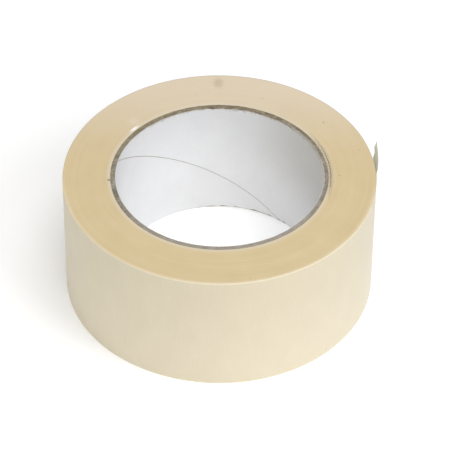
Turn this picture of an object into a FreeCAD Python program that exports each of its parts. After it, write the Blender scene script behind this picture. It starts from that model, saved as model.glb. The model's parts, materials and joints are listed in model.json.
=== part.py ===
import FreeCAD, Part
import math
import os

import Sketcher
from FreeCAD import Vector

# Masking tape roll: a spiral-wound cardboard core with one long strip of crepe paper tape on it.
# Lengths are millimetres and angles are degrees. +Z runs up the bore, and the origin is the
# centre of the bore at the bottom face. The strip is wound anticlockwise seen from above.

SIZES = {
    "roll_width": 50.0,
    "roll_radius": 57.5,
    "tape_thickness": 0.13,
    # The core: a white liner and three grey board plies around a 3 inch bore.
    "bore_radius": 38.1,
    "liner_thickness": 0.16,
    "board_thickness": 0.58,
    # The butt seam of each ply climbs once round the core in one pitch.
    "seam_pitch": 154.0,
    "seam_gap": 0.4,
    "seam_overrun": 1.0,
    "liner_seam_angle": 50.16,
    "inner_seam_angle": 166.0,
    "middle_seam_angle": 285.0,
    "outer_seam_angle": 28.0,
    # The first turns lie flat over the core on one side, which leaves a crescent gap outside them.
    "inner_turn_count": 7.0,
    "crescent_angle": 7.5,
    "crescent_half_span": 22.5,
    "crescent_depth": 0.25,
    # The loose end hinges at the peel line and lies on the roll with a little clearance.
    "peel_angle": -10.0,
    "hinge_gap": 0.15,
    "lay_clearance": 0.05,
    # Its upper corner folds outwards about a slanting line that bulges with the roll.
    "fold_middle_angle": 10.37,
    "fold_half_span": 10.03,
    "corner_height": 16.8,
    "corner_lift": 18.7,
    "corner_trim": 0.3,
    "fold_gap": 0.4,
    "fold_axis_inset": 0.25,
    # Cuts run this far past the solid that they cut.
    "cut_margin": 2.0,
}

# The torn edge of each piece, as (distance short of the full length, height), from the top down.
CORNER_TEAR = [(0.0, 50.0), (3.3, 47.0), (1.9, 44.6), (4.2, 41.6), (3.4, 38.0), (4.6, 32.0)]
FREE_END_TEAR = [(4.2, 34.0), (3.2, 27.5), (4.0, 20.0), (2.7, 13.5), (3.6, 7.0), (2.9, 0.0)]

BOARD_PLIES = ("inner", "middle", "outer")

CENTRE = Vector(0, 0, 0)
UP = Vector(0, 0, 1)
ORIGIN_POINT = (-1, 1)
X_AXIS = -1
START, END, MIDDLE = 1, 2, 3

# Where some sketch geometry is first drawn, before its dimensions put it in its exact place.
FIRST_INSIDE = SIZES["roll_radius"] - SIZES["tape_thickness"]
FIRST_OUTSIDE = SIZES["roll_radius"]
FIRST_HINGE_ANGLE = -18.0
FIRST_END_ANGLE = 12.0
FIRST_TURN_END = 359.9
FIRST_TURNS_RADIUS = 40.9
FIRST_CRESCENT_SHIFT = 3.0


# ---- the sheet and the helpers that draw from it ---------------------------------------------

def make_sheet(doc):
    """One row for each driving dimension: its name, and its value under the same alias."""
    sheet = doc.addObject("Spreadsheet::Sheet", "Sizes")
    for row, (name, size) in enumerate(SIZES.items(), start=1):
        sheet.set(f"A{row}", name)
        sheet.set(f"B{row}", str(size))
        sheet.setAlias(f"B{row}", name)
    doc.recompute()


def origin_feature(body, role):
    """The body's own plane or axis that has this role."""
    return next(item for item in body.Origin.OriginFeatures if item.Role == role)


def new_body(doc, label):
    body = doc.addObject("PartDesign::Body", label)
    body.Label = label
    return body


def new_sketch(body, name, plane):
    sketch = body.newObject("Sketcher::SketchObject", name)
    sketch.AttachmentSupport = [(origin_feature(body, plane), "")]
    sketch.MapMode = "FlatFace"
    return sketch


def bind(sketch, name, expression, kind, *elements):
    """Adds a dimension whose value comes from the sheet. The last element is its first guess."""
    index = sketch.addConstraint(Sketcher.Constraint(kind, *elements))
    sketch.renameConstraint(index, name)
    sketch.setExpression("Constraints." + name, expression)


def join(sketch, first, first_end, second, second_end):
    sketch.addConstraint(Sketcher.Constraint("Coincident", first, first_end, second, second_end))


def put_on_x_axis(sketch, geometry, point):
    sketch.addConstraint(Sketcher.Constraint("PointOnObject", geometry, point, X_AXIS))


def add_circle(sketch, name, radius):
    """A circle round the roll's axis."""
    circle = sketch.addGeometry(Part.Circle(CENTRE, UP, SIZES["roll_radius"]), False)
    join(sketch, circle, MIDDLE, *ORIGIN_POINT)
    bind(sketch, name, radius, "Radius", circle, SIZES["roll_radius"])


def add_polygon(sketch, name, corners):
    """Straight lines through the corners, each given as a pair of expressions."""
    count = len(corners)
    guess = [Vector(math.cos(2 * math.pi * k / count), math.sin(2 * math.pi * k / count), 0)
             for k in range(count)]
    lines = [sketch.addGeometry(Part.LineSegment(guess[k], guess[(k + 1) % count]), False)
             for k in range(count)]
    for k, (across, along) in enumerate(corners):
        join(sketch, lines[k - 1], END, lines[k], START)
        bind(sketch, f"{name}_across_{k}", across, "DistanceX", lines[k], START, guess[k].x)
        bind(sketch, f"{name}_along_{k}", along, "DistanceY", lines[k], START, guess[k].y)


def arc(middle, radius, start, end):
    """An arc in the sketch plane, anticlockwise between two angles in degrees."""
    return Part.ArcOfCircle(Part.Circle(middle, UP, radius), math.radians(start), math.radians(end))


def pad(body, sketch):
    """Raises a profile to the full width of the roll."""
    feature = body.newObject("PartDesign::Pad", sketch.Name + "_pad")
    feature.Profile = sketch
    feature.setExpression("Length", "Sizes.roll_width")
    sketch.Visibility = False
    body.Document.recompute()


def pocket_outwards(body, sketch):
    """Cuts a profile drawn on the YZ plane through everything on the +X side."""
    before = body.Shape.Volume
    feature = body.newObject("PartDesign::Pocket", sketch.Name + "_pocket")
    feature.Profile = sketch
    feature.Type = "ThroughAll"
    feature.Reversed = True
    body.Document.recompute()
    if not body.Shape.Volume < before:
        raise RuntimeError(f"{body.Label}: {sketch.Name} cut nothing")


# ---- the core --------------------------------------------------------------------------------

def add_seam(body, inner_radius, outer_radius):
    """Cuts the helical gap where the two edges of a ply meet."""
    before = body.Shape.Volume
    sketch = new_sketch(body, body.Name + "_seam", "XZ_Plane")
    near = f"{inner_radius} - Sizes.seam_gap"
    far = f"{outer_radius} + Sizes.seam_gap"
    low = "-Sizes.seam_overrun"
    high = "Sizes.seam_gap - Sizes.seam_overrun"
    add_polygon(sketch, "seam", [(near, low), (far, low), (far, high), (near, high)])
    helix = body.newObject("PartDesign::SubtractiveHelix", body.Name + "_seam_cut")
    helix.Profile = sketch
    helix.ReferenceAxis = (origin_feature(body, "Z_Axis"), [""])
    helix.Mode = "pitch-height-angle"
    helix.setExpression("Pitch", "Sizes.seam_pitch")
    helix.setExpression("Height", "Sizes.roll_width + 2 * Sizes.seam_overrun")
    body.Tip = helix
    body.Document.recompute()
    if not body.Shape.Volume < before:
        raise RuntimeError(f"{body.Label}: the seam cut nothing")


def core_ply(doc, label, inner_radius, outer_radius, seam_angle):
    """One layer of the spiral-wound tube."""
    body = new_body(doc, label)
    sketch = new_sketch(body, label + "_section", "XY_Plane")
    add_circle(sketch, "outer_radius", outer_radius)
    add_circle(sketch, "inner_radius", inner_radius)
    pad(body, sketch)
    add_seam(body, inner_radius, outer_radius)
    body.setExpression("Placement.Rotation.Angle", seam_angle)
    return body


def make_core(doc):
    """The liner and the board plies, from the bore outwards."""
    liner_radius = "Sizes.bore_radius + Sizes.liner_thickness"
    radii = [f"{liner_radius} + {count} * Sizes.board_thickness"
             for count in range(len(BOARD_PLIES) + 1)]
    plies = [core_ply(doc, "core_liner_ply", "Sizes.bore_radius", radii[0],
                      "Sizes.liner_seam_angle")]
    for place, inner, outer in zip(BOARD_PLIES, radii, radii[1:]):
        plies.append(core_ply(doc, f"core_{place}_ply", inner, outer, f"Sizes.{place}_seam_angle"))
    return plies


# ---- the winding -----------------------------------------------------------------------------

CORE_RADIUS = ("Sizes.bore_radius + Sizes.liner_thickness"
               f" + {len(BOARD_PLIES)} * Sizes.board_thickness")
INNER_TURNS_RADIUS = f"{CORE_RADIUS} + Sizes.inner_turn_count * Sizes.tape_thickness"


def add_crescent_outline(sketch):
    """A circle flattened between two points that mirror each other in the X axis."""
    radius = FIRST_TURNS_RADIUS
    half = SIZES["crescent_half_span"]
    outer = sketch.addGeometry(arc(CENTRE, radius, half, 360 - half), False)
    flat = sketch.addGeometry(arc(Vector(-FIRST_CRESCENT_SHIFT, 0, 0),
                                  radius + FIRST_CRESCENT_SHIFT, -half, half), False)
    top = sketch.addGeometry(Part.Point(Vector(radius, 0, 0)), True)
    join(sketch, outer, MIDDLE, *ORIGIN_POINT)
    bind(sketch, "turns_radius", INNER_TURNS_RADIUS, "Radius", outer, radius)
    sketch.addConstraint(Sketcher.Constraint("Symmetric", outer, START, outer, END, X_AXIS))
    bind(sketch, "crescent_end", f"({INNER_TURNS_RADIUS}) * sin(Sizes.crescent_half_span)",
         "DistanceY", outer, START, radius * math.sin(math.radians(half)))
    join(sketch, flat, START, outer, END)
    join(sketch, flat, END, outer, START)
    put_on_x_axis(sketch, top, START)
    sketch.addConstraint(Sketcher.Constraint("PointOnObject", top, START, flat))
    bind(sketch, "crescent_middle", f"{INNER_TURNS_RADIUS} - Sizes.crescent_depth",
         "DistanceX", top, START, radius)


def make_inner_turns(doc):
    """The first turns of tape, tight on the core."""
    body = new_body(doc, "inner_turns")
    sketch = new_sketch(body, "inner_turns_section", "XY_Plane")
    add_circle(sketch, "core_radius", CORE_RADIUS)
    add_crescent_outline(sketch)
    pad(body, sketch)
    body.setExpression("Placement.Rotation.Angle", "Sizes.crescent_angle")
    return body


def add_spiral_face(sketch, name, layers_in):
    """One full turn of a face of the strip, so many layers in from the outside of the roll.

    Two half-turn arcs, whose centres stand a quarter of a thickness either side of the axis,
    step the face out by one thickness a turn. The second arc's end is left free to be closed.
    """
    step = SIZES["tape_thickness"] / 4
    radius = SIZES["roll_radius"] - (4 * layers_in + 3) * step
    first = sketch.addGeometry(arc(Vector(-step, 0, 0), radius, 0, 180), False)
    second = sketch.addGeometry(arc(Vector(step, 0, 0), radius + 2 * step, 180, FIRST_TURN_END),
                                False)
    for half in (first, second):
        put_on_x_axis(sketch, half, MIDDLE)
    bind(sketch, name + "_first_middle", "-Sizes.tape_thickness / 4",
         "DistanceX", first, MIDDLE, -step)
    bind(sketch, name + "_second_middle", "Sizes.tape_thickness / 4",
         "DistanceX", second, MIDDLE, step)
    bind(sketch, name + "_radius",
         f"Sizes.roll_radius - ({layers_in} + 3 / 4) * Sizes.tape_thickness",
         "Radius", first, radius)
    put_on_x_axis(sketch, first, START)
    put_on_x_axis(sketch, first, END)
    join(sketch, first, END, second, START)
    return first, second


def close_step(sketch, start_arc, start_point, end_arc, end_point):
    """A short line between the ends of two arcs."""
    line = sketch.addGeometry(Part.LineSegment(Vector(FIRST_INSIDE, 0, 0),
                                               Vector(FIRST_OUTSIDE, 0, 0)), False)
    join(sketch, line, START, start_arc, start_point)
    join(sketch, line, END, end_arc, end_point)
    return line


def make_wound_turns(doc):
    """The body of the winding, with the step where the last turn begins."""
    body = new_body(doc, "wound_turns")
    sketch = new_sketch(body, "wound_turns_section", "XY_Plane")
    first, second = add_spiral_face(sketch, "outside", 1)
    put_on_x_axis(sketch, second, END)
    close_step(sketch, first, START, second, END)
    add_circle(sketch, "inner_turns_radius", INNER_TURNS_RADIUS)
    pad(body, sketch)
    body.setExpression("Placement.Rotation.Angle", "Sizes.peel_angle")
    return body


def make_last_turn(doc):
    """The outermost full turn, which stops just short of the peel line."""
    body = new_body(doc, "last_turn")
    sketch = new_sketch(body, "last_turn_section", "XY_Plane")
    inside = add_spiral_face(sketch, "inside", 1)
    outside = add_spiral_face(sketch, "outside", 0)
    close_step(sketch, inside[0], START, outside[0], START)
    end_line = close_step(sketch, inside[1], END, outside[1], END)
    sketch.addConstraint(Sketcher.Constraint("Horizontal", end_line))
    bind(sketch, "hinge_gap", "-Sizes.hinge_gap", "DistanceY", end_line, START, -SIZES["hinge_gap"])
    pad(body, sketch)
    body.setExpression("Placement.Rotation.Angle", "Sizes.peel_angle")
    return body


# ---- the loose end ---------------------------------------------------------------------------
# Both pieces are drawn with +X through the middle of the fold line, and then turned into place.

LAY_RADIUS = "Sizes.roll_radius - Sizes.tape_thickness + Sizes.lay_clearance"
HINGE_START = ("Sizes.peel_angle - Sizes.fold_middle_angle"
               " + 180 / pi * Sizes.hinge_gap / Sizes.roll_radius")
FOLD_TOP_Y = "-Sizes.roll_radius * sin(Sizes.fold_half_span)"
FOLD_END_Y = "Sizes.roll_radius * sin(Sizes.fold_half_span)"
PAST_END_Y = f"{FOLD_END_Y} + Sizes.cut_margin"
BEFORE_START_Y = "-Sizes.roll_radius / 2"


def add_radial_line(sketch, name, angle, guess):
    """A line across the thickness of the strip, on a ray from the roll's axis."""
    ray = Vector(math.cos(math.radians(guess)), math.sin(math.radians(guess)), 0)
    line = sketch.addGeometry(Part.LineSegment(ray * FIRST_INSIDE, ray * FIRST_OUTSIDE), False)
    sketch.addConstraint(Sketcher.Constraint("PointOnObject", *ORIGIN_POINT, line))
    bind(sketch, name, angle, "Angle", line, math.radians(guess))
    return line


def strip_plate(doc, label):
    """The strip from the peel line to the end, curved to lie on the roll."""
    body = new_body(doc, label)
    sketch = new_sketch(body, label + "_section", "XY_Plane")
    inner, outer = [
        sketch.addGeometry(arc(CENTRE, radius, FIRST_HINGE_ANGLE, FIRST_END_ANGLE), False)
        for radius in (FIRST_INSIDE, FIRST_OUTSIDE)]
    for face in (inner, outer):
        join(sketch, face, MIDDLE, *ORIGIN_POINT)
    bind(sketch, "lay_radius", LAY_RADIUS, "Radius", inner, FIRST_INSIDE)
    bind(sketch, "face_radius", LAY_RADIUS + " + Sizes.tape_thickness",
         "Radius", outer, FIRST_OUTSIDE)
    hinge_line = add_radial_line(sketch, "hinge_start", HINGE_START, FIRST_HINGE_ANGLE)
    end_line = add_radial_line(sketch, "strip_end", "Sizes.fold_half_span", FIRST_END_ANGLE)
    for line, point in ((hinge_line, START), (end_line, END)):
        join(sketch, line, START, inner, point)
        join(sketch, line, END, outer, point)
    pad(body, sketch)
    return body


def cut_tear(body, tear):
    """Takes off the far side of the ragged edge."""
    sketch = new_sketch(body, body.Name + "_tear", "YZ_Plane")
    above = "Sizes.roll_width + Sizes.cut_margin"
    below = "-Sizes.cut_margin"
    corners = [(f"{FOLD_END_Y} - {short}", str(height)) for short, height in tear]
    corners.append((f"{FOLD_END_Y} - {tear[-1][0]}", below))
    corners.append((PAST_END_Y, below))
    corners.append((PAST_END_Y, above))
    corners.append((f"{FOLD_END_Y} - {tear[0][0]}", above))
    add_polygon(sketch, "tear", corners)
    pocket_outwards(body, sketch)


def make_free_end(doc):
    """All of the loose end but its upper corner."""
    body = strip_plate(doc, "free_end")
    sketch = new_sketch(body, "free_end_fold", "YZ_Plane")
    fold_end = "Sizes.roll_width - Sizes.corner_height - Sizes.fold_gap"
    top = "Sizes.roll_width + Sizes.cut_margin"
    add_polygon(sketch, "fold", [
        (FOLD_TOP_Y, "Sizes.roll_width - Sizes.fold_gap"),
        (FOLD_END_Y, fold_end),
        (PAST_END_Y, fold_end),
        (PAST_END_Y, top),
        (FOLD_TOP_Y, top),
    ])
    pocket_outwards(body, sketch)
    cut_tear(body, FREE_END_TEAR)
    body.setExpression("Placement.Rotation.Angle", "Sizes.fold_middle_angle")
    return body


def trim_top(body):
    """Lowers the top edge, so that the turned corner stays level with the roll."""
    sketch = new_sketch(body, body.Name + "_top", "YZ_Plane")
    low = "Sizes.roll_width - Sizes.corner_trim"
    high = "Sizes.roll_width + Sizes.cut_margin"
    add_polygon(sketch, "top", [(BEFORE_START_Y, low), (PAST_END_Y, low),
                                (PAST_END_Y, high), (BEFORE_START_Y, high)])
    pocket_outwards(body, sketch)


def make_lifted_corner(doc):
    """The upper corner, turned outwards about the fold axis."""
    body = strip_plate(doc, "lifted_corner")
    sketch = new_sketch(body, "lifted_corner_fold", "YZ_Plane")
    fold_end = "Sizes.roll_width - Sizes.corner_height + Sizes.fold_gap"
    add_polygon(sketch, "fold", [
        (BEFORE_START_Y, "-Sizes.cut_margin"),
        (PAST_END_Y, "-Sizes.cut_margin"),
        (PAST_END_Y, fold_end),
        (FOLD_END_Y, fold_end),
        (FOLD_TOP_Y, "Sizes.roll_width + Sizes.fold_gap"),
        (BEFORE_START_Y, "Sizes.roll_width + Sizes.fold_gap"),
    ])
    pocket_outwards(body, sketch)
    trim_top(body)
    cut_tear(body, CORNER_TEAR)
    body.setExpression("Placement", (
        "placement(vector(0; 0; 0); rotation(vector(0; 0; 1); Sizes.fold_middle_angle))"
        " * placement(vector(0; 0; 0);"
        " rotation(vector(0; 2 * Sizes.roll_radius * sin(Sizes.fold_half_span);"
        " -Sizes.corner_height); Sizes.corner_lift);"
        " vector(Sizes.roll_radius - Sizes.fold_axis_inset; 0;"
        " Sizes.roll_width - Sizes.corner_height / 2))"))
    return body


# ---- checks and files ------------------------------------------------------------------------

def check(doc, parts):
    """Stops on any object that failed, or any sub-part without a sound single solid."""
    for item in doc.Objects:
        if "Invalid" in item.State or "Error" in item.State:
            raise RuntimeError(f"{item.Label} failed to recompute")
    for part in parts:
        shape = part.Shape
        if shape.isNull() or not shape.isValid() or len(shape.Solids) != 1:
            raise RuntimeError(f"{part.Label} is not one sound solid")
        print(f"{part.Label}: {shape.Volume:.1f} mm3")


def main():
    doc = FreeCAD.newDocument("masking_tape_roll")
    make_sheet(doc)
    parts = make_core(doc)
    parts.append(make_inner_turns(doc))
    parts.append(make_wound_turns(doc))
    parts.append(make_last_turn(doc))
    parts.append(make_free_end(doc))
    parts.append(make_lifted_corner(doc))
    doc.recompute()
    check(doc, parts)
    os.makedirs("parts", exist_ok=True)
    for part in parts:
        part.Shape.exportStep(os.path.join("parts", part.Label + ".step"))


main()
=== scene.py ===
import json
import math

import bmesh
import bpy
import numpy as np
from mathutils import Matrix, Vector


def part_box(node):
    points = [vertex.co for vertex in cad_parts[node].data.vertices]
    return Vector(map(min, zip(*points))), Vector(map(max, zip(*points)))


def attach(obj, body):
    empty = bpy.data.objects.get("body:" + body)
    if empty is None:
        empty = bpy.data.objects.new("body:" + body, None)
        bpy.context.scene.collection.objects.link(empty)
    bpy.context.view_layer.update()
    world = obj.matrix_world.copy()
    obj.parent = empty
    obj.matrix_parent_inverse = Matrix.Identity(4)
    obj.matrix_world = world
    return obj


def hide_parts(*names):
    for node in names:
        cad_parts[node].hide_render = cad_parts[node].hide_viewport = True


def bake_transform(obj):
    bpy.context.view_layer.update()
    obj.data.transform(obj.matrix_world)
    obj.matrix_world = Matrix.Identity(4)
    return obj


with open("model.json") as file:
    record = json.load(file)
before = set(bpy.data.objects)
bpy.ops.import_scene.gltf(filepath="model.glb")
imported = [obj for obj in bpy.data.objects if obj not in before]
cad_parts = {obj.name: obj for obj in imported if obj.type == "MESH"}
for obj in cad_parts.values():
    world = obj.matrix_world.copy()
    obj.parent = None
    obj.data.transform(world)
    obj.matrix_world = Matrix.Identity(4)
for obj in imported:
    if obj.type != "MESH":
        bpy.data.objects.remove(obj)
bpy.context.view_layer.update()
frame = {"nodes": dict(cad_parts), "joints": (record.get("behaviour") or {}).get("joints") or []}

# A roll of masking tape. Everything is in metres: MM turns the millimetres below into metres.
# The tape is crepe paper, wound anticlockwise on a spiral-wound board core, and the upper
# corner of its torn end stands away from the roll.
MM = 0.001


# ---- sizes that come from the frame ----------------------------------------------------------

def radii(node):
    """The smallest and the largest distance of a CAD node's points from the roll's axis."""
    away = [math.hypot(v.co.x, v.co.y) for v in frame["nodes"][node].data.vertices]
    return min(away), max(away)


def joint(name):
    return next(j for j in frame["joints"] if j["name"] == name)


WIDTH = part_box("last_turn")[1].z
BORE, LINER_OUT = radii("core_liner_ply")
CORE_OUT = radii("core_outer_ply")[1]
TURNS_IN = radii("wound_turns")[0]
ROLL = radii("last_turn")[1]
TAPE = ROLL - radii("wound_turns")[1]

PEEL_POINT = Vector(joint("peel_hinge")["pos_m"])
FOLD_POINT = Vector(joint("corner_fold")["pos_m"])
FOLD_AXIS = Vector(joint("corner_fold")["axis"])
PEEL_ANGLE = math.atan2(PEEL_POINT.y, PEEL_POINT.x)
FOLD_ANGLE = math.atan2(FOLD_POINT.y, FOLD_POINT.x)
FOLD_SLOPE = -FOLD_AXIS.z / math.hypot(FOLD_AXIS.x, FOLD_AXIS.y)

# Lengths along the strip are measured from the peel line, on the outside of the roll.
TURN = 2 * math.pi * ROLL
FOLD_MIDDLE = (FOLD_ANGLE - PEEL_ANGLE) * ROLL
FOLD_START = FOLD_MIDDLE - (WIDTH - FOLD_POINT.z) / FOLD_SLOPE
STRIP_END = FOLD_MIDDLE + (FOLD_MIDDLE - FOLD_START)


# ---- smooth random numbers -------------------------------------------------------------------

LATTICE_COLUMNS = 1024
LATTICE_ROWS = 256
LATTICE = np.random.default_rng(11).uniform(-1, 1, (LATTICE_COLUMNS, LATTICE_ROWS))
ROWS_PER_SEED = 17


def smooth_step(value):
    value = np.clip(value, 0, 1)
    return value * value * (3 - 2 * value)


def noise(x, y=0.0, seed=0, around=LATTICE_COLUMNS):
    """Smooth noise between -1 and 1, one lattice cell a unit, that repeats every around cells."""
    x, y = np.broadcast_arrays(np.asarray(x, float), np.asarray(y, float))
    left, low = np.floor(x).astype(int), np.floor(y).astype(int)
    across, up = smooth_step(x - left), smooth_step(y - low)
    columns = left % around, (left + 1) % around
    first_row = low + ROWS_PER_SEED * seed
    rows = first_row % LATTICE_ROWS, (first_row + 1) % LATTICE_ROWS
    bottom = LATTICE[columns[0], rows[0]] * (1 - across) + LATTICE[columns[1], rows[0]] * across
    top = LATTICE[columns[0], rows[1]] * (1 - across) + LATTICE[columns[1], rows[1]] * across
    return bottom * (1 - up) + top * up


def ring_noise(angle, cells, seed, y=0.0):
    """Noise with so many cells round the roll, which meets itself after a turn."""
    return noise(angle / (2 * math.pi) * cells, y, seed, around=cells)


# ---- meshes ----------------------------------------------------------------------------------

# Points closer than this become one, and an edge is hard where the mesh turns by more degrees.
WELD = 0.0005 * MM
SHARP = 50
PLY_SHARP = 32


def mesh_object(name, points, faces, slots=None, strip=None, weld=0.0, sharp=SHARP):
    """A smooth-shaded mesh with hard edges.

    slots holds each face's material, and strip each point's place on the strip, for its UV map.
    """
    mesh = bpy.data.meshes.new(name)
    mesh.from_pydata(np.asarray(points, float).tolist(), [], [list(map(int, f)) for f in faces])
    if slots is not None:
        mesh.polygons.foreach_set("material_index", np.asarray(slots, np.int32))
    if strip is not None:
        layer = mesh.uv_layers.new(name="strip")
        corners = np.zeros(len(mesh.loops), np.int32)
        mesh.loops.foreach_get("vertex_index", corners)
        layer.data.foreach_set("uv", np.asarray(strip, np.float32)[corners].ravel())
    shape = bmesh.new()
    shape.from_mesh(mesh)
    if weld:
        bmesh.ops.remove_doubles(shape, verts=shape.verts, dist=weld)
    bmesh.ops.recalc_face_normals(shape, faces=shape.faces)
    shape.to_mesh(mesh)
    shape.free()
    mesh.polygons.foreach_set("use_smooth", np.ones(len(mesh.polygons), bool))
    mesh.set_sharp_from_angle(angle=math.radians(sharp))
    piece = bpy.data.objects.new(name, mesh)
    bpy.context.scene.collection.objects.link(piece)
    return piece


def grid_faces(count, ring, closed=True):
    """The quads between neighbouring stations, each a section of ring points, closed or open."""
    i = np.arange(count - 1)[:, None]
    k = np.arange(ring if closed else ring - 1)[None, :]
    after, beside = i + 1, (k + 1) % ring
    corners = [i * ring + k, i * ring + beside, after * ring + beside, after * ring + k]
    return np.stack(np.broadcast_arrays(*corners), -1).reshape(-1, 4)


def polar(radius, angle, height):
    radius, angle, height = np.broadcast_arrays(radius, angle, height)
    return np.stack([radius * np.cos(angle), radius * np.sin(angle), height], -1)


def shell(name, outside, inside, strip):
    """A thin sheet from its two faces, which are grids of points, with a border all round.

    Its material slots are the outside, the inside and the border.
    """
    rows, columns = outside.shape[:2]
    faces = grid_faces(rows, columns, closed=False)
    border = [(0, k) for k in range(columns)]
    border += [(i, columns - 1) for i in range(1, rows)]
    border += [(rows - 1, k) for k in range(columns - 2, -1, -1)]
    border += [(i, 0) for i in range(rows - 2, 0, -1)]
    edge = np.array([i * columns + k for i, k in border])
    beside = np.roll(edge, -1)
    shift = rows * columns
    sides = np.stack([edge, beside, beside + shift, edge + shift], -1)
    every = np.concatenate([faces, faces[:, ::-1] + shift, sides])
    slots = np.repeat([0, 1, 2], [len(faces), len(faces), len(sides)])
    points = np.concatenate([outside.reshape(-1, 3), inside.reshape(-1, 3)])
    places = np.concatenate([strip.reshape(-1, 2)] * 2) / MM
    return mesh_object(name, points, every, slots, places, weld=WELD)


def dress(piece, materials):
    for material in materials:
        piece.data.materials.append(material)


# ---- the core --------------------------------------------------------------------------------

# The seams of the plies: how high one climbs in a turn, how wide its gap is, and the direction
# in which each starts at the foot.
SEAM_PITCH = 154 * MM
SEAM_GAP = 0.46 * MM
LINER_SEAM = math.radians(52.5)
INNER_SEAM = math.radians(166)
MIDDLE_SEAM = math.radians(285)
OUTER_SEAM = math.radians(28)

# Points round a ply and, as shares of its height, up it: close together near the fuzzy edges.
PLY_STATIONS = 720
LINER_LEVELS = np.concatenate([[0, 0.003, 0.01], np.linspace(0.03, 0.97, 30), [0.99, 0.997, 1]])
BOARD_LEVELS = np.concatenate([[0, 0.003, 0.01], np.linspace(0.04, 0.96, 26), [0.99, 0.997, 1]])
# Points across a ply's cut edge, between its two walls.
LINER_RIM_POINTS = 1
BOARD_RIM_POINTS = 5

# The cut edges: how deep the fuzz of the liner and of the board is, what share of it the foot
# has, and the even part, the fuzz and the wider tufts that it is mixed from.
LINER_FUZZ = 0.16 * MM
BOARD_FUZZ = 0.2 * MM
FOOT_SHARE = 0.5
EVEN_SHARE, FUZZ_SHARE, TUFT_SHARE = 0.55, 0.4, 0.35
FUZZ_CELLS, TUFT_CELLS = 560, 90
FUZZ_CELLS_THROUGH = 3
LEAST_WEAR = 0.01 * MM
# Across the edge its middle stands up a little, and its fibres lean in and out.
RIM_BULGE = 0.05 * MM
RIM_LEAN = 0.03 * MM
LEAN_CELLS, LEAN_CELLS_THROUGH = 500, 5

# The liner's frayed edges: cells a turn of the fine shreds and of the larger bits.
SHRED_CELLS, BIT_CELLS = 180, 62
# Millimetres that are gone from its top: smoothly, raggedly (evenly, in shreds and in bits), and
# at most. Then millimetres gone and torn from its foot, and how much more on the right.
SCUFFED = 0.18
RAGGED, RAGGED_SHREDS, RAGGED_BITS = 0.1, 0.42, 0.3
MOST_SCUFFED = 0.8
FOOT_WORN, FOOT_WORN_RIGHT = 0.05, 0.16
FOOT_TORN, FOOT_TORN_RIGHT = 0.12, 0.34
BOARD_FOOT_WEAR = 0.02 * MM


def ply(name, inner, outer, seam, levels, rim_points, rough, worn, seed):
    """One layer of the core: a tube cut by a helical gap, with fuzzy cut edges.

    worn says how much more of the edge is gone at an angle, on top (1) or at the foot (-1).
    """
    turn = np.linspace(0, 1, PLY_STATIONS)[:, None]
    gap = SEAM_GAP / inner
    rows = len(levels)

    def angle(height):
        start = seam + 2 * math.pi * height / SEAM_PITCH + gap / 2
        return start + turn * (2 * math.pi - gap)

    def edge(share, sign):
        """How far the top or bottom edge is worn back, at a share of the way through the ply."""
        around = angle(WIDTH if sign > 0 else 0.0)
        fuzz = ring_noise(around, FUZZ_CELLS, seed, share * FUZZ_CELLS_THROUGH)
        tufts = ring_noise(around, TUFT_CELLS, seed + 3, share)
        deepest = rough if sign > 0 else FOOT_SHARE * rough
        depth = deepest * (EVEN_SHARE + FUZZ_SHARE * fuzz + TUFT_SHARE * tufts)
        return np.clip(depth + worn(around, sign), LEAST_WEAR, None)

    def wall(radius, share):
        low, high = edge(share, -1), WIDTH - edge(share, 1)
        height = low + (high - low) * levels[None, :]
        return polar(radius, angle(height), height)

    def rim(sign, shares):
        columns = []
        for share in shares:
            bulge = RIM_BULGE * math.sin(math.pi * share)
            depth = np.clip(edge(share, sign) - bulge, LEAST_WEAR, None)
            height = (WIDTH - depth) if sign > 0 else depth
            lean = RIM_LEAN * noise(turn * LEAN_CELLS, share * LEAN_CELLS_THROUGH, seed + 7)
            columns.append(polar(inner + (outer - inner) * share + lean, angle(height), height))
        return np.concatenate(columns, 1)

    shares = np.arange(1, rim_points + 1) / (rim_points + 1)
    section = np.concatenate([wall(inner, 0.0), rim(1, shares), wall(outer, 1.0)[:, ::-1],
                              rim(-1, shares[::-1])], 1)
    count, ring = section.shape[:2]
    faces = [tuple(f) for f in grid_faces(count, ring)]
    first_outer = rows + rim_points
    # Each side of the gap is closed by a quad for each level and one face for each cut edge.
    for base in (0, (count - 1) * ring):
        for row in range(rows - 1):
            far = first_outer + rows - 1 - row
            faces.append((base + row, base + row + 1, base + far - 1, base + far))
        faces.append([base + k for k in range(rows - 1, first_outer + 1)])
        faces.append([base + k for k in [*range(first_outer + rows - 1, ring), 0]])
    return mesh_object(name, section.reshape(-1, 3), faces, sharp=PLY_SHARP)


def facing(angle, middle, clear, full):
    """1 near the middle direction and 0 far from it, where the cosine between them is clear."""
    return smooth_step((np.cos(angle - math.radians(middle)) - clear) / (full - clear))


def liner_wear(angle, sign):
    """The liner is scuffed down at the rear of its top edge, and ragged at its foot."""
    shreds = ring_noise(angle, SHRED_CELLS, seed=41)
    bits = ring_noise(angle, BIT_CELLS, seed=43)
    if sign > 0:
        rear = facing(angle, middle=95, clear=0.35, full=0.8)
        rear_right = facing(angle, middle=60, clear=0.6, full=0.9)
        ragged = RAGGED + RAGGED_SHREDS * shreds + RAGGED_BITS * bits
        return np.clip(SCUFFED * rear + ragged * rear_right, 0.0, MOST_SCUFFED) * MM
    right = facing(angle, middle=40, clear=0.35, full=0.75)
    torn = smooth_step(0.9 * shreds + 0.7 * bits + 0.15)
    worn = FOOT_WORN + FOOT_WORN_RIGHT * right
    return (worn + torn * (FOOT_TORN + FOOT_TORN_RIGHT * right)) * MM


def board_wear(angle, sign):
    """The board is worn only at the foot, and evenly."""
    return np.full_like(angle, BOARD_FOOT_WEAR if sign < 0 else 0.0)


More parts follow.
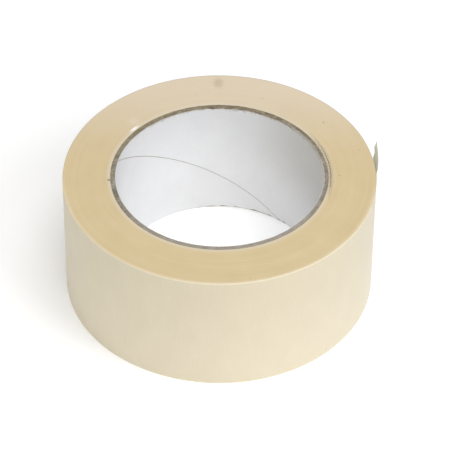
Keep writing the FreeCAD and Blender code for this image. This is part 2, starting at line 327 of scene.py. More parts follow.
def make_core(board, liner):
    """The liner, and three plies of board that share the rest of the wall equally."""
    thickness = (CORE_OUT - LINER_OUT) / 3
    pieces = [ply("bore_liner", BORE, LINER_OUT, LINER_SEAM, LINER_LEVELS, LINER_RIM_POINTS,
                  LINER_FUZZ, liner_wear, seed=2)]
    plies = (("inner", INNER_SEAM), ("middle", MIDDLE_SEAM), ("outer", OUTER_SEAM))
    for place, (word, seam) in enumerate(plies):
        low = LINER_OUT + place * thickness
        pieces.append(ply("board_ply_" + word, low, low + thickness, seam, BOARD_LEVELS,
                          BOARD_RIM_POINTS, BOARD_FUZZ, board_wear, seed=20 + 9 * place))
    nodes = ("core_liner_ply", "core_inner_ply", "core_middle_ply", "core_outer_ply")
    for piece, node in zip(pieces, nodes):
        is_liner = node == "core_liner_ply"
        dress(piece, [liner if is_liner else board])
        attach(piece, "roll")
        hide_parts(node)


# ---- the winding -----------------------------------------------------------------------------

WINDING_STATIONS = 150
# The valley between two turns lies this much deeper than the edge of a turn.
RIDGE = 0.012 * MM
# How deep the turns' edges lie: on average, from turn to turn, and in bands of several turns.
TURN_DEPTH = 0.03 * MM
TURN_JITTER, JITTERS_PER_TURN = 0.012 * MM, 1.7
TURN_WANDER, TURNS_PER_WANDER = 0.022 * MM, 6
# The outermost turns are worn down at their edges, less and less over the run inwards.
SHOULDER_DEPTH = 0.07 * MM
SHOULDER_RUN = 0.3 * MM

# The gap beside the first turns, which are flattened on one side.
CRESCENT_ANGLE = math.radians(7.5)
CRESCENT_HALF_SPAN = math.radians(22.5)
CRESCENT_DEPTH = 0.17 * MM

# The last turn's wall: its points round it and up it, and how far inside its two edges the
# evenly spaced ones begin.
WALL_STATIONS = 1440
WALL_ROWS = 42
WALL_BORDER = 1.2 * MM
# Where it reads the random depths, and how much of them it follows.
LAST_TURN_PLACE = 127
LAST_TURN_SHARE = 0.6
# The wrinkles fade in over this share of the turn, from the peel line on.
WRINKLE_FADE = 0.002

# The strip's two edges are very slightly rounded.
EDGE_ROUNDING = 0.05 * MM
EDGE_BAND = 0.1 * MM

# The wrinkles of the crepe: how far they stand out, their lengths along and up, and a seed.
WRINKLES = [(0.012 * MM, 0.5 * MM, 3.2 * MM, 1), (0.012 * MM, 1.1 * MM, 7 * MM, 5),
            (0.01 * MM, 9 * MM, 30 * MM, 9)]


def crepe(along, height):
    """How far the wrinkles of the crepe paper stand out, for a place on the strip."""
    return sum(rise * noise(along / length, height / tall, seed)
               for rise, length, tall, seed in WRINKLES)


def turn_height(turns):
    """How far a turn's edge lies below the end of the roll, for a place along it in turns."""
    jitter = noise(turns * JITTERS_PER_TURN, seed=3)
    wander = noise(turns / TURNS_PER_WANDER, seed=8)
    return TURN_DEPTH + TURN_JITTER * jitter + TURN_WANDER * wander


def shoulder(radius):
    return SHOULDER_DEPTH * np.exp(-(ROLL - radius) / SHOULDER_RUN)


def crescent_outline(angle):
    """The outside of the first turns."""
    off = np.abs((angle - CRESCENT_ANGLE + math.pi) % (2 * math.pi) - math.pi)
    share = np.clip(off / CRESCENT_HALF_SPAN, 0, 1)
    return TURNS_IN - CRESCENT_DEPTH * (1 - share ** 3)


def wound_piece(name, inner, outer_at_start, outline=None):
    """A stack of turns: two end faces with a ridge for each turn, and the walls between them.

    The outside is the last turn's spiral, or an outline that cuts it short.
    """
    turns = math.ceil((outer_at_start - inner) / TAPE) + 1
    base = outer_at_start - turns * TAPE
    halves = np.arange(2 * turns + 1)[None, :]
    share = np.linspace(0, 1, WINDING_STATIONS + 1)[:, None]
    angle = PEEL_ANGLE + share * 2 * math.pi
    place = halves / 2 + share
    radius = np.clip(base + TAPE * place, inner, outline(angle) if outline else None)
    valley = np.where(halves % 2 == 0, RIDGE, 0)
    depth = turn_height(place + base / TAPE) + valley + shoulder(radius)
    top = polar(radius, angle, WIDTH - depth)
    bottom = polar(radius, angle, depth)
    section = np.concatenate([top, bottom[:, ::-1]], 1)
    return mesh_object(name, section.reshape(-1, 3), grid_faces(*section.shape[:2]), weld=WELD)


def wall_levels():
    """Heights up the outside of the strip, closer together at its two edges."""
    return np.concatenate([[0, EDGE_BAND], np.linspace(WALL_BORDER, WIDTH - WALL_BORDER, WALL_ROWS),
                           [WIDTH - EDGE_BAND, WIDTH]])


def edge_inset(height):
    near = np.minimum(height, WIDTH - height)
    return EDGE_ROUNDING * np.clip(1 - near / EDGE_BAND, 0, 1)


def make_outer_turn(paper, edge):
    """The last full turn, up to the peel line."""
    levels = wall_levels()[None, :]
    share = np.linspace(0, 1, WALL_STATIONS + 1)[:, None]
    angle = PEEL_ANGLE + share * 2 * math.pi
    face = ROLL - TAPE + TAPE * share
    along = (share - 1) * TURN
    depth = turn_height(share + LAST_TURN_PLACE) * LAST_TURN_SHARE
    height = np.clip(levels, depth, WIDTH - depth)
    fade = smooth_step(share / WRINKLE_FADE)
    radius = face + fade * crepe(along, height) - edge_inset(levels)
    outside = polar(radius, angle, height)
    top = polar(face - TAPE, angle, WIDTH - depth)
    bottom = polar(face - TAPE, angle, depth)
    section = np.concatenate([outside, top, bottom], 1)
    count, ring = section.shape[:2]
    faces = [tuple(f) for f in grid_faces(count, ring)]
    faces += [list(range(ring)), list(range((count - 1) * ring, count * ring))]
    # Slot 0 is the paper of the outer face, and 1 the cut edges, the inner face and the ends.
    kinds = np.ones(ring)
    kinds[:levels.shape[1] - 1] = 0
    slots = [*np.tile(kinds, count - 1), 1, 1]
    heights = np.concatenate([height, WIDTH - depth, depth], 1)
    places = np.stack(np.broadcast_arrays(along, heights), -1).reshape(-1, 2) / MM
    piece = mesh_object("outer_turn", section.reshape(-1, 3), faces, slots, places)
    dress(piece, [paper, edge])
    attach(piece, "roll")
    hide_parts("last_turn")


def make_winding(paper, edge):
    first = wound_piece("first_turns", CORE_OUT, TURNS_IN, crescent_outline)
    wound = wound_piece("wound_tape", TURNS_IN, ROLL - 2 * TAPE)
    for piece, node in ((first, "inner_turns"), (wound, "wound_turns")):
        dress(piece, [edge])
        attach(piece, "roll")
        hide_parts(node)
    make_outer_turn(paper, edge)


# ---- the loose end ---------------------------------------------------------------------------

# It lies this far off the roll, rising over the run from the peel line, and its torn end
# curls out by a little more, unevenly from patch to patch.
LAY_GAP = 0.13 * MM
LAY_RUN = 14 * MM
END_CURL = 0.06 * MM
CURL_PATCH = 9 * MM

# The corner turns out by CORNER_LIFT times a share, softly over the crease. The share is
# LIFT_AT_START where the crease starts, grows by CORNER_CURL to the end of the strip, where
# TIP_FLICK comes on top of it, and has a slight ripple.
CORNER_LIFT = math.radians(18.7)
CREASE_LENGTH = 1.6 * MM
LIFT_AT_START = 0.86
CORNER_CURL = 0.12
TIP_FLICK, TIP_LENGTH = 0.05, 4.5 * MM
RIPPLE, RIPPLE_LENGTH = 0.02, 3.4 * MM

# The torn edges, as (millimetres short of the full length, height in millimetres), and the
# fibres along them, as (length, width).
CORNER_TEAR = [(0.0, 50.0), (0.55, 48.8), (0.1, 47.3), (0.7, 46.9), (2.9, 46.5), (3.0, 45.6),
               (3.3, 44.6), (1.9, 42.6), (3.9, 41.0), (3.3, 38.4), (4.4, 36.8)]
FREE_END_TEAR = [(4.4, 36.8), (4.3, 34.0), (3.1, 31.2), (3.6, 27.5), (3.0, 24.0), (4.1, 20.0),
                 (3.2, 16.6), (2.7, 13.5), (3.8, 10.2), (3.5, 7.0), (2.6, 3.2), (3.0, 0.0)]
LONG_FIBRES = (0.1 * MM, 0.5 * MM)
SHORT_FIBRES = (0.06 * MM, 0.19 * MM)

# Stations along the strip before the crease starts, below the crease and on the corner, and the
# corner's points as shares of its torn edge.
STRAIGHT_STATIONS = 44
BELOW_CREASE_STATIONS = 74
CORNER_STATIONS = 84
CORNER_LEVELS = np.concatenate([np.linspace(0, 0.985, 130), [0.993, 1.0]])


def tear_line(tear, height, seed):
    """How far along the strip the torn edge lies at each height."""
    short, level = np.array(tear).T * MM
    fibres = sum(length * noise(height / width, seed=seed + shift)
                 for shift, (length, width) in ((0, LONG_FIBRES), (2, SHORT_FIBRES)))
    return STRIP_END - np.interp(height, level[::-1], short[::-1]) + fibres


def strip_radius(along, height):
    """The outside of the loose end, which lies on the roll with a little air under it."""
    end = smooth_step((along - FOLD_START) / (STRIP_END - FOLD_START))
    uneven = 0.7 + 0.5 * noise(height / CURL_PATCH, seed=31)
    return ROLL + LAY_GAP * smooth_step(along / LAY_RUN) + END_CURL * end * uneven


def lying(along, height, depth=0.0):
    """A place on the loose end as it lies round the roll, so far below its outer face."""
    face = strip_radius(along, height) - depth + crepe(along, height) - edge_inset(height)
    return polar(face, PEEL_ANGLE + along / ROLL, height)


def lift(points, along, height):
    """Turns points of the corner outwards about the fold axis, softly at the crease."""
    axis = np.array(FOLD_AXIS)
    pivot = np.array(FOLD_POINT)
    slant = math.atan(FOLD_SLOPE)
    past = (along - FOLD_MIDDLE) * math.sin(slant) + (height - FOLD_POINT.z) * math.cos(slant)
    from_start = along - FOLD_START
    share = LIFT_AT_START + RIPPLE * np.sin(from_start / RIPPLE_LENGTH)
    share = share + CORNER_CURL * smooth_step(from_start / (STRIP_END - FOLD_START))
    share = share + TIP_FLICK * smooth_step((along - STRIP_END) / TIP_LENGTH + 1)
    angle = CORNER_LIFT * share * smooth_step(past / CREASE_LENGTH)
    away = points - pivot
    cos, sin = np.cos(angle)[..., None], np.sin(angle)[..., None]
    turned = away * cos + np.cross(axis, away) * sin + axis * (away @ axis)[..., None] * (1 - cos)
    return turned + pivot


def make_loose_strip(materials):
    """The strip from the peel line to its torn end, below the fold line.

    Gives the place where the fold line meets the torn edge: how far along, and how high.
    """
    corner_height = CORNER_TEAR[-1][1] * MM
    levels = wall_levels() / WIDTH
    straight = np.linspace(0, FOLD_START, STRAIGHT_STATIONS)[:, None]
    flat_along, flat_height = np.broadcast_arrays(straight, levels[None, :] * WIDTH)
    share = np.linspace(0, 1, BELOW_CREASE_STATIONS)[1:, None]
    end = tear_line(FREE_END_TEAR, levels * corner_height, seed=13)[None, :]
    end_height = WIDTH - FOLD_SLOPE * (end[0, -1] - FOLD_START)
    slant_height = levels[None, :] * (WIDTH + share * (end_height - WIDTH))
    slant_along = FOLD_START + share * (end - FOLD_START)
    along = np.concatenate([flat_along, slant_along])
    height = np.concatenate([flat_height, slant_height])
    outside, inside = lying(along, height), lying(along, height, TAPE)
    piece = shell("loose_strip", outside, inside, np.stack([along, height], -1))
    dress(piece, materials)
    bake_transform(piece)
    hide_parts("free_end")
    return end[0, -1], end_height


def make_torn_corner(materials, end_along, end_height):
    """The upper corner, which fans out from where the fold line meets the top edge."""
    share = np.linspace(0, 1, CORNER_STATIONS)[:, None]
    edge_height = end_height + CORNER_LEVELS * (WIDTH - end_height)
    edge_along = tear_line(CORNER_TEAR, edge_height, seed=14)
    edge_along[0] = end_along
    along = FOLD_START + share * (edge_along[None, :] - FOLD_START)
    height = WIDTH + share * (edge_height[None, :] - WIDTH)
    outside = lift(lying(along, height), along, height)
    inside = lift(lying(along, height, TAPE), along, height)
    piece = shell("torn_corner", outside, inside, np.stack([along, height], -1))
    dress(piece, materials)
    outward = Vector((math.cos(FOLD_ANGLE), math.sin(FOLD_ANGLE), 0))
    across = FOLD_AXIS.cross(outward)
    across = across if across.z > 0 else -across
    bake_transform(piece)
    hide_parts("lifted_corner")


# ---- materials -------------------------------------------------------------------------------

# The colour sockets of a Mix node, which has a set of sockets with the same names for each type.
MIX_COLOUR_A, MIX_COLOUR_B, MIX_COLOUR_OUT = 6, 7, 2


class Nodes:
    """Adds nodes to a material, one call each. Colours are red, green and blue."""

    def __init__(self, name):
        self.material = bpy.data.materials.new(name)
        self.material.use_nodes = True
        self.tree = self.material.node_tree
        self.shader = self.tree.nodes["Principled BSDF"]

    def put(self, socket, value):
        """Links another node's socket to this one, or sets this one to a number or a colour."""
        if isinstance(value, bpy.types.NodeSocket):
            self.tree.links.new(value, socket)
        else:
            socket.default_value = value

    def set(self, name, value):
        """Sets what is the same all over the surface."""
        self.shader.inputs[name].default_value = value

    def add(self, kind, values=(), out=0, **settings):
        """Adds a node and gives one of its outputs."""
        node = self.tree.nodes.new("ShaderNode" + kind)
        for key, value in settings.items():
            setattr(node, key, value)
        for key, value in dict(values).items():
            self.put(node.inputs[key], value)
        return node.outputs[out]

    def times(self, first, second):
        return self.add("Math", {0: first, 1: second}, operation="MULTIPLY")

    def plus(self, first, second):
        return self.add("Math", {0: first, 1: second}, operation="ADD")

    def sum(self, *parts):
        """Adds up values, each given with its share."""
        total = None
        for value, share in parts:
            part = self.times(value, share)
            total = part if total is None else self.plus(total, part)
        return total

    def vector(self, operation, first, second=(0, 0, 0), out=0):
        return self.add("VectorMath", {0: first, 1: second}, out, operation=operation)

    def length(self, vector):
        return self.vector("LENGTH", vector, out=1)

    def scaled(self, vector, scale):
        return self.add("Mapping", {"Vector": vector, "Scale": scale})

    def place(self):
        """The place on the piece, in millimetres."""
        return self.vector("MULTIPLY", self.add("TexCoord", out=3), (1 / MM,) * 3)

    def flat(self, place):
        """A place without its height."""
        return self.vector("MULTIPLY", place, (1, 1, 0))

    def noise(self, place, cells, detail=2.0, roughness=0.5):
        """Noise with so many cells a millimetre, or so many along each axis."""
        if isinstance(cells, tuple):
            place, cells = self.scaled(place, cells), 1.0
        return self.add("TexNoise", {"Vector": place, "Scale": cells, "Detail": detail,
                                     "Roughness": roughness})

    def between(self, value, low, high):
        """Spreads a value of 0 to 1 over low to high."""
        return self.add("MapRange", {"Value": value, "To Min": low, "To Max": high})

    def mask(self, value, clear, full):
        """0 where the value is clear and 1 where it is full, smooth between."""
        return self.add("MapRange", {"Value": value, "From Min": clear, "From Max": full},
                        interpolation_type="SMOOTHSTEP")

    def toward(self, place, angle, clear, full):
        """A mask by how many millimetres from the axis the place is in a direction."""
        direction = (math.cos(math.radians(angle)), math.sin(math.radians(angle)), 0)
        return self.mask(self.vector("DOT_PRODUCT", place, direction, out=1), clear, full)

    def spot(self, place, radius, angle, full, clear, stretch=1.0):
        """A mask round a point of the end face, full near it and clear farther off.

        The point is given in millimetres and degrees. stretch draws the spot out round the roll.
        """
        turned = self.add("VectorRotate", {"Vector": place, "Angle": -math.radians(angle)},
                          rotation_type="Z_AXIS")
        moved = self.vector("ADD", turned, (-radius, 0, 0))
        squashed = self.vector("MULTIPLY", moved, (1.0, 1 / stretch, 0.0))
        return self.mask(self.length(squashed), clear, full)

    def mix(self, share, first, second, blend="MIX"):
        node = self.tree.nodes.new("ShaderNodeMix")
        node.data_type = "RGBA"
        node.blend_type = blend
        self.put(node.inputs["Factor"], share)
        self.put(node.inputs[MIX_COLOUR_A], first)
        self.put(node.inputs[MIX_COLOUR_B], second)
        return node.outputs[MIX_COLOUR_OUT]

    def paint(self, colour, mask, over, strength):
        """Paints over a colour where the mask is full, at a strength."""
        return self.mix(self.times(mask, strength), colour, (*over, 1.0))

    def tint(self, colour, tint):
        """Multiplies a colour by another."""
        return self.mix(1.0, colour, (*tint, 1.0), "MULTIPLY")

    def ramp(self, value, spread, colours):
        """Colours spaced evenly over the values within spread of a half."""
        node = self.tree.nodes.new("ShaderNodeValToRGB")
        elements = node.color_ramp.elements
        elements[0].position, elements[1].position = 0.5 - spread, 0.5 + spread
        for position in np.linspace(0.5 - spread, 0.5 + spread, len(colours))[1:-1]:
            elements.new(position)
        for element, colour in zip(elements, colours):
            element.color = (*colour, 1.0)
        self.put(node.inputs[0], value)
        return node.outputs[0]

    def bump(self, height, distance, strength):
        normal = self.add("Bump", {"Height": height, "Distance": distance, "Strength": strength})
        self.put(self.shader.inputs["Normal"], normal)

    def finish(self, colour, roughness, specular):
        self.put(self.shader.inputs["Base Color"], colour)
        self.put(self.shader.inputs["Roughness"], roughness)
        self.set("Specular IOR Level", specular)
        return self.material


# Heights and radii on the object in millimetres, as the masks need them.
TOP = WIDTH / MM
RIM = ROLL / MM
FIRST_TURNS_RIM = TURNS_IN / MM
CORE_RIM = CORE_OUT / MM
LINER_RIM = LINER_OUT / MM

# The shades of each material, darkest first, and how far from a half the ramp reaches.
CREAM = (0.675, 0.60, 0.44), (0.70, 0.625, 0.465), (0.73, 0.655, 0.495)
GLUE = (0.78, 0.79, 0.73), (0.86, 0.87, 0.81)
TAN = (0.605, 0.473, 0.262), (0.637, 0.51, 0.297), (0.665, 0.545, 0.33)
GREY_BROWN = (0.13, 0.11, 0.082), (0.275, 0.242, 0.19), (0.45, 0.405, 0.335)
WHITE = (0.772, 0.772, 0.772), (0.795, 0.795, 0.795), (0.818, 0.818, 0.818)
SPREAD = 0.2
BOARD_SPREAD = 0.14

# Tints, which a shade is multiplied by.
# The paper's foot tint is painted light and its top tint is painted shade.
PAPER_FOOT_PAINTED_LIGHT = (1.03, 1.025, 1.02)
PAPER_TOP_PAINTED_SHADE = (0.95, 0.945, 0.92)
# The glue's first tint is painted light and its tip tint is painted shade.
GLUE_PAINTED_LIGHT = (1.1, 1.06, 1.06)
GLUE_PAINTED_SHADE_TIP = (0.84, 0.87, 0.89)
BOARD_REAR_TINT = (0.88, 0.81, 0.64)
# The liner's right tint is painted shade.
LINER_PAINTED_SHADE = (0.835, 0.81, 0.765)

# Colours that are painted over a shade in places.
# The paper's top colour is a painted highlight just under its top rim.
PAPER_PAINTED_HIGHLIGHT_TOP = (0.78, 0.69, 0.505)
# The paper's foot colour is a painted highlight along its foot.
PAPER_PAINTED_HIGHLIGHT_FOOT = (0.82, 0.73, 0.52)
# The edge's rear colour is a painted sheen.
EDGE_PAINTED_SHEEN = (0.72, 0.62, 0.49)
EDGE_NEAR_CORE = (0.69, 0.62, 0.505)
EDGE_DARK_BY_GAP = (0.36, 0.31, 0.24)
# The edge's outermost colour is painted shade along the rear of the outer rim.
EDGE_PAINTED_SHADE_FAR_RIM = (0.50, 0.45, 0.39)
# The edge's near-rim colour is a painted highlight along the front of the outer rim.
EDGE_PAINTED_HIGHLIGHT = (0.75, 0.65, 0.46)
# A dark spot on the rear of the end face.
DARK_SPOT = (0.50, 0.41, 0.27)
# The next colour is a painted glare on the end face.
PAINTED_GLARE = (0.84, 0.80, 0.74)
SCRAPE = (0.97, 0.95, 0.92)
SPECK = (0.28, 0.21, 0.12)
BOARD_FRONT = (0.365, 0.325, 0.28)
BOARD_BESIDE_LINER = (0.52, 0.50, 0.47)
LINER_FRAYED = (0.36, 0.335, 0.285)
# The liner's colour for darker blotches just below its rear rim.
LINER_DARK_BLOTCHES = (0.42, 0.385, 0.31)

# Marks on the end face, the second a painted glare: the place (radius in millimetres, angle in
# degrees), the distances within which it is full and beyond which it is clear, and its stretch,
# strength and colour.
MARKS = [((52.8, 90.8), 0.8, 4.4, 0.66, 0.6, DARK_SPOT), ((44.0, 137.0), 0.3, 3.6, 1.0, 0.18, PAINTED_GLARE),
         ((41.0, 141.2), 0.15, 0.95, 3.4, 0.85, SCRAPE)]
# Dark specks on it, as (radius, angle, full inside, clear outside, strength).
SPECKS = [(40.5, 184.3, 0.25, 0.9, 0.85), (49.1, 38.0, 0.1, 0.7, 0.5),
          (44.0, 0.5, 0.1, 0.6, 0.45), (53.6, 16.0, 0.1, 0.5, 0.3), (46.8, 101.0, 0.1, 0.5, 0.25),
          (46.9, 70.3, 0.1, 0.5, 0.4), (55.6, 281.7, 0.1, 0.5, 0.35),
          (40.6, 352.0, 0.1, 0.5, 0.4)]


def crepe_paper():
    """The outer face of the tape: cream paper with fine wrinkles across the strip, painted light
    and shade up the wall and painted highlights at its rims.
    """
    n = Nodes("crepe_paper")
    strip = n.add("UVMap", uv_map="strip")
    height = n.add("SeparateXYZ", {0: strip}, out=1)
    wrinkles = n.noise(strip, (2.4, 0.16, 1), detail=3.0, roughness=0.6)
    fibres = n.noise(strip, (1.1, 1.1, 1), detail=4.0, roughness=0.6)
    mottle = n.noise(strip, (0.12, 0.06, 1), detail=3.0, roughness=0.55)
    shade = n.sum((wrinkles, 0.3), (mottle, 0.4), (fibres, 0.3))
    colour = n.ramp(shade, SPREAD, CREAM)
    # Painted light makes the wall lighter at its foot, and painted shade makes it darker towards
    # its top.
    painted_shade_up_wall = n.mask(height, clear=0.0, full=TOP)
    colour = n.mix(painted_shade_up_wall, n.tint(colour, PAPER_FOOT_PAINTED_LIGHT), n.tint(colour, PAPER_TOP_PAINTED_SHADE))
    # Painted highlight: a paler band just under the top rim.
    painted_highlight_top_rim = n.mask(height, clear=TOP - 0.95, full=TOP - 0.25)
    colour = n.paint(colour, painted_highlight_top_rim, PAPER_PAINTED_HIGHLIGHT_TOP, strength=0.85)
    # Painted highlight: a paler band along the foot of the wall.
    painted_highlight_foot = n.mask(height, clear=0.9, full=0.2)
    colour = n.paint(colour, painted_highlight_foot, PAPER_PAINTED_HIGHLIGHT_FOOT, strength=0.7)
    n.bump(wrinkles, distance=0.02 * MM, strength=0.4)
    n.set("Sheen Weight", 0.18)
    n.set("Sheen Roughness", 0.5)
    return n.finish(colour, roughness=n.between(wrinkles, 0.5, 0.66), specular=0.5)


def adhesive_face():
    """The sticky side: a little glossy, and light comes through the paper; painted light on it, and
    painted shade towards the tip.
    """
    n = Nodes("adhesive_face")
    strip = n.add("UVMap", uv_map="strip")
    along = n.add("SeparateXYZ", {0: strip})
    wrinkles = n.noise(strip, (1.6, 0.2, 1), detail=3.0, roughness=0.6)
    colour = n.ramp(wrinkles, SPREAD, GLUE)
    # Painted light on the glue before the corner, and painted shade towards the torn tip.
    shade_toward_tip = n.mask(along, clear=FOLD_START / MM + 1.0, full=STRIP_END / MM - 1.5)
    colour = n.mix(shade_toward_tip, n.tint(colour, GLUE_PAINTED_LIGHT), n.tint(colour, GLUE_PAINTED_SHADE_TIP))
    n.bump(wrinkles, distance=0.02 * MM, strength=0.5)
    n.set("Subsurface Weight", 1.0)
    n.set("Subsurface Radius", (1.0, 0.95, 0.8))
    n.set("Subsurface Scale", 0.3 * MM)
    return n.finish(colour, roughness=n.between(wrinkles, 0.35, 0.55), specular=0.45)


def tape_edge():
    """The cut edges of the turns: tan, in fine rings, with a few marks and a painted glare, sheen,
    shade and highlight.
    """
    n = Nodes("tape_edge")
    place = n.place()
    backward = n.add("SeparateXYZ", {0: place}, out=1)
    flat = n.flat(place)
    away = n.length(flat)
    direction = n.vector("NORMALIZE", flat)
    outward = n.add("CombineXYZ", {2: away})

    def rings(cells_round, cells_out, detail, roughness):
        """Noise drawn out round the roll."""
        spread = n.scaled(direction, (cells_round, cells_round, 0))
        ringed = n.vector("ADD", spread, n.scaled(outward, (1, 1, cells_out)))
        return n.noise(ringed, 1.0, detail, roughness)

    fine = rings(cells_round=1.6, cells_out=5, detail=2.0, roughness=0.6)
    broad = rings(cells_round=0.8, cells_out=0.5, detail=3.0, roughness=0.5)
    cloud = n.noise(flat, 0.09, detail=3.0, roughness=0.5)
    colour = n.ramp(n.sum((fine, 0.3), (broad, 0.3), (cloud, 0.4)), SPREAD, TAN)
    # Painted sheen: the end face is paler towards the rear.
    rear = n.mask(backward, clear=5.0, full=55.0)
    colour = n.paint(colour, rear, EDGE_PAINTED_SHEEN, strength=0.75)
    wandering = n.plus(away, n.times(broad, 0.6))
    near_core = n.mask(wandering, clear=CORE_RIM + 2.2, full=CORE_RIM + 0.7)
    colour = n.paint(colour, near_core, EDGE_NEAR_CORE, strength=0.55)
    beside_gap = n.mask(away, clear=FIRST_TURNS_RIM + 1.1, full=FIRST_TURNS_RIM + 0.2)
    # Darker in patches beside the gap of the first turns, on the right.
    dark_patches_by_gap = n.times(beside_gap, n.toward(flat, angle=10, clear=36.0, full=40.0))
    dark_patches_by_gap = n.times(dark_patches_by_gap, n.mask(n.noise(flat, 1.6), clear=0.3, full=0.6))
    colour = n.paint(colour, dark_patches_by_gap, EDGE_DARK_BY_GAP, strength=0.75)
    for (radius, angle), full, clear, stretch, strength, tone in MARKS:
        colour = n.paint(colour, n.spot(flat, radius, angle, full, clear, stretch), tone, strength)
    # Painted shade along the rear of the outer rim.
    outermost = n.mask(away, clear=RIM - 0.45, full=RIM - 0.2)
    outermost = n.times(outermost, n.mask(backward, clear=-5.0, full=30.0))
    outermost = n.times(outermost, n.mask(away, clear=RIM + 0.5, full=RIM + 0.2))
    colour = n.paint(colour, outermost, EDGE_PAINTED_SHADE_FAR_RIM, strength=0.75)
    # Painted highlight: paler towards the outer rim at the front.
    painted_highlight_front_rim = n.mask(away, clear=RIM - 1.4, full=RIM - 0.1)
    painted_highlight_front_rim = n.times(painted_highlight_front_rim, n.mask(backward, clear=5.0, full=-15.0))
    colour = n.paint(colour, painted_highlight_front_rim, EDGE_PAINTED_HIGHLIGHT, strength=0.6)
    for radius, angle, full, clear, strength in SPECKS:
        colour = n.paint(colour, n.spot(flat, radius, angle, full, clear), SPECK, strength)
    n.bump(fine, distance=0.01 * MM, strength=0.4)
    return n.finish(colour, roughness=n.between(fine, 0.5, 0.7), specular=0.3)


def board():
    """Grey-brown recycled board, fibrous where it is cut."""
    n = Nodes("core_board")
    place = n.place()
    flat = n.flat(place)
    fibres = n.noise(place, 2.6, detail=4.0, roughness=0.75)
    patches = n.noise(place, 0.45)
    colour = n.ramp(n.sum((fibres, 0.6), (patches, 0.4)), BOARD_SPREAD, GREY_BROWN)
    rear = n.toward(flat, angle=95, clear=-5.0, full=34.0)
    colour = n.mix(n.times(rear, 0.8), colour, n.tint(colour, BOARD_REAR_TINT))
    front = n.toward(flat, angle=-80, clear=5.0, full=36.0)
    colour = n.paint(colour, front, BOARD_FRONT, strength=0.6)
    beside_liner = n.mask(n.length(flat), clear=LINER_RIM + 0.5, full=LINER_RIM + 0.15)
    beside_liner = n.times(beside_liner, n.toward(flat, angle=10, clear=24.0, full=38.0))
    colour = n.paint(colour, beside_liner, BOARD_BESIDE_LINER, strength=0.7)
    n.bump(fibres, distance=0.12 * MM, strength=0.8)
    return n.finish(colour, roughness=0.92, specular=0.15)


def white_liner():
    """White paper with faint fibres, painted shade on the right, frayed at its rim and darker in
    blotches below it at the rear.
    """
    n = Nodes("white_liner")
    place = n.place()
    height = n.add("SeparateXYZ", {0: place}, out=2)
    fibres = n.noise(n.scaled(place, (1, 1, 0.6)), 1.1, detail=4.0, roughness=0.65)
    patches = n.noise(place, 0.12)
    colour = n.ramp(n.sum((fibres, 0.5), (patches, 0.5)), SPREAD, WHITE)
    # Painted shade on the upper right of the bore's wall.
    right = n.toward(place, angle=18, clear=21.0, full=38.0)
    right = n.times(right, n.mask(height, clear=10.0, full=38.0))
    colour = n.mix(right, colour, n.tint(colour, LINER_PAINTED_SHADE))
    frayed = n.mask(n.plus(height, n.times(fibres, 0.8)), clear=TOP - 0.15, full=TOP + 0.3)
    colour = n.paint(colour, frayed, LINER_FRAYED, strength=0.6)
    # Darker in blotches just below the rim at the rear.
    blotches = n.noise(n.scaled(place, (1, 1, 0.5)), 0.75, detail=3.0, roughness=0.6)
    dark_blotches_below_rim = n.mask(n.plus(height, n.times(blotches, 3.6)), clear=TOP + 0.6, full=TOP + 1.7)
    dark_blotches_below_rim = n.times(dark_blotches_below_rim, n.toward(place, angle=80, clear=8.0, full=28.0))
    colour = n.paint(colour, dark_blotches_below_rim, LINER_DARK_BLOTCHES, strength=0.6)
    n.bump(fibres, distance=0.03 * MM, strength=0.5)
    return n.finish(colour, roughness=0.6, specular=0.3)


# ---- floor, light and camera -----------------------------------------------------------------

FLOOR_HALF = 3.0
FLOOR_TONE = (0.88, 0.88, 0.88)
FLOOR_GLOW = 0.2
SOFT_LIGHT = 0.12
BACKDROP_LIGHT = 0.97

# Big soft lamps on the right, in front and overhead, and a low one on the left:
# (name, place, diameter, power, colour).
LAMPS = [("right_lamp", (1.2, -0.75, 1.2), 1.2, 13.2, (0.975, 0.99, 1.04)),
         ("front_lamp", (0.0, -1.3, 1.2), 1.4, 12.8, (1.0, 1.0, 1.0)),
         ("top_lamp", (0.3, 0.0, 1.8), 1.4, 16.9, (1.0, 1.0, 1.0)),
         ("left_lamp", (-2.6, 0.2, 0.64), 1.0, 10.0, (1.0, 1.0, 0.95))]

# Where the camera stands: how steeply it looks down, how far it is from the middle of the top
# face, how far its line of sight passes that point to the right and up, and its roll.
CAMERA_ELEVATION = 0.743
CAMERA_DISTANCE = 1036.6 * MM
CAMERA_RIGHT = 2.05 * MM
CAMERA_UP = -18.23 * MM
CAMERA_ROLL = 0.008
LENS, SENSOR = 226.5, 36
NEAREST_SEEN = 10 * MM


def make_floor():
    mesh = bpy.data.meshes.new("studio_floor")
    corners = [(-1, -1), (1, -1), (1, 1), (-1, 1)]
    mesh.from_pydata([(x * FLOOR_HALF, y * FLOOR_HALF, 0) for x, y in corners], [],
                     [(0, 1, 2, 3)])
    floor = bpy.data.objects.new("studio_floor", mesh)
    n = Nodes("studio_floor")
    n.set("Emission Color", (1, 1, 1, 1))
    n.set("Emission Strength", FLOOR_GLOW)
    dress(floor, [n.finish((*FLOOR_TONE, 1.0), roughness=0.9, specular=0.1)])
    bpy.context.scene.collection.objects.link(floor)


def area_light(name, place, size, power, colour):
    data = bpy.data.lights.new(name, "AREA")
    data.shape = "DISK"
    data.size = size
    data.energy = power
    data.color = colour
    light = bpy.data.objects.new(name, data)
    light.location = place
    light.visible_camera = False
    aim = Vector((0, 0, WIDTH / 2))
    light.rotation_euler = (aim - Vector(place)).to_track_quat("-Z", "Y").to_euler()
    bpy.context.scene.collection.objects.link(light)


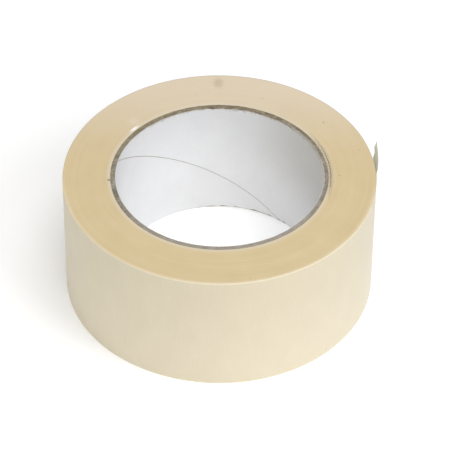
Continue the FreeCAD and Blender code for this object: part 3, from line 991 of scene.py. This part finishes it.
def make_world():
    """White behind everything, and a little light from all round."""
    world = bpy.data.worlds.new("studio")
    world.use_nodes = True
    tree = world.node_tree
    soft = tree.nodes["Background"]
    soft.inputs["Color"].default_value = (1.0, 1.0, 1.0, 1.0)
    soft.inputs["Strength"].default_value = SOFT_LIGHT
    backdrop = tree.nodes.new("ShaderNodeBackground")
    backdrop.inputs["Strength"].default_value = BACKDROP_LIGHT
    ray = tree.nodes.new("ShaderNodeLightPath")
    mix = tree.nodes.new("ShaderNodeMixShader")
    tree.links.new(ray.outputs["Is Camera Ray"], mix.inputs[0])
    tree.links.new(soft.outputs[0], mix.inputs[1])
    tree.links.new(backdrop.outputs[0], mix.inputs[2])
    tree.links.new(mix.outputs[0], tree.nodes["World Output"].inputs[0])
    bpy.context.scene.world = world


def make_camera():
    forward = Vector((0, math.cos(CAMERA_ELEVATION), -math.sin(CAMERA_ELEVATION)))
    level = Vector((1, 0, 0))
    above = Vector((0, math.sin(CAMERA_ELEVATION), math.cos(CAMERA_ELEVATION)))
    right = level * math.cos(CAMERA_ROLL) + above * math.sin(CAMERA_ROLL)
    up = above * math.cos(CAMERA_ROLL) - level * math.sin(CAMERA_ROLL)
    data = bpy.data.cameras.new("camera")
    data.lens = LENS
    data.sensor_width = SENSOR
    data.clip_start = NEAREST_SEEN
    camera = bpy.data.objects.new("camera", data)
    place = (Vector((0, 0, WIDTH)) - forward * CAMERA_DISTANCE
             + right * CAMERA_RIGHT + up * CAMERA_UP)
    turn = Matrix((right, up, -forward)).transposed().to_4x4()
    camera.matrix_world = Matrix.Translation(place) @ turn
    bpy.context.scene.collection.objects.link(camera)
    bpy.context.scene.camera = camera


def main():
    paper, edge, glue = crepe_paper(), tape_edge(), adhesive_face()
    make_core(board(), white_liner())
    make_winding(paper, edge)
    end_along, end_height = make_loose_strip([paper, glue, edge])
    make_torn_corner([paper, glue, edge], end_along, end_height)
    make_floor()
    make_world()
    for lamp in LAMPS:
        area_light(*lamp)
    make_camera()
    bpy.context.scene.view_settings.view_transform = "Standard"


main()
